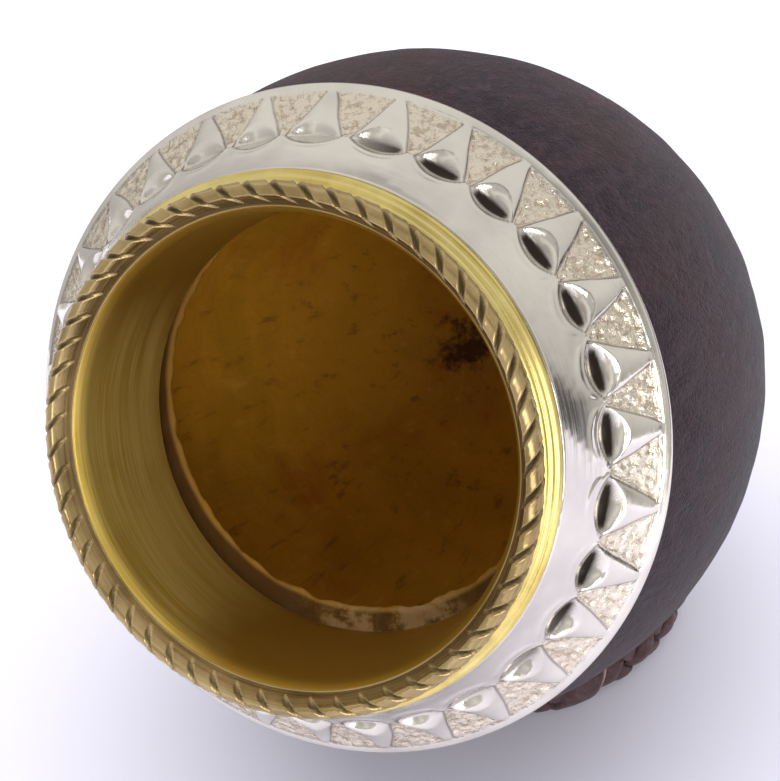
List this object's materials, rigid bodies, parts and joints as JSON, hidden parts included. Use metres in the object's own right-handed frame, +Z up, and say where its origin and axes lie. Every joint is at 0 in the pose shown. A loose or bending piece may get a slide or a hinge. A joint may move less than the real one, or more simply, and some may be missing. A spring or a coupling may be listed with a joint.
{
  "type": "empty mate gourd cup lying back in a braided ring stand",
  "caption": "Empty leather-covered gourd cup for mate with a petalled metal collar, a rope-cut rim and a brass-lined mouth, lying back in a small braided leather ring.",
  "frame": {"origin": "middle of the whole part's footprint, on the floor it rests on", "axes": "+Z up; the open mouth looks along -Y and 24.5 degrees upwards; +Y runs towards the cup's closed bottom end"},
  "size_m": [0.0948, 0.1166, 0.1036],
  "materials": {
    "gourd": "raw dried gourd, fibrous, dark amber brown",
    "leather_cover": "matte fine-grained plum-brown leather",
    "collar": "polished nickel silver with chased petals",
    "brass_liner": "brushed olive-gold brass",
    "rope_rim": "cast pale brass with gouged cuts",
    "brass_band": "polished yellow brass",
    "braided_ring": "matte mauve-brown braided leather lace"
  },
  "bodies": {
    "root": {"gourd": "gourd", "leather_cover": "leather_cover", "collar": "collar", "brass_liner": "brass_liner", "rope_rim": "rope_rim", "brass_band": "brass_band", "braided_ring": "braided_ring"}
  },
  "joints": []
}
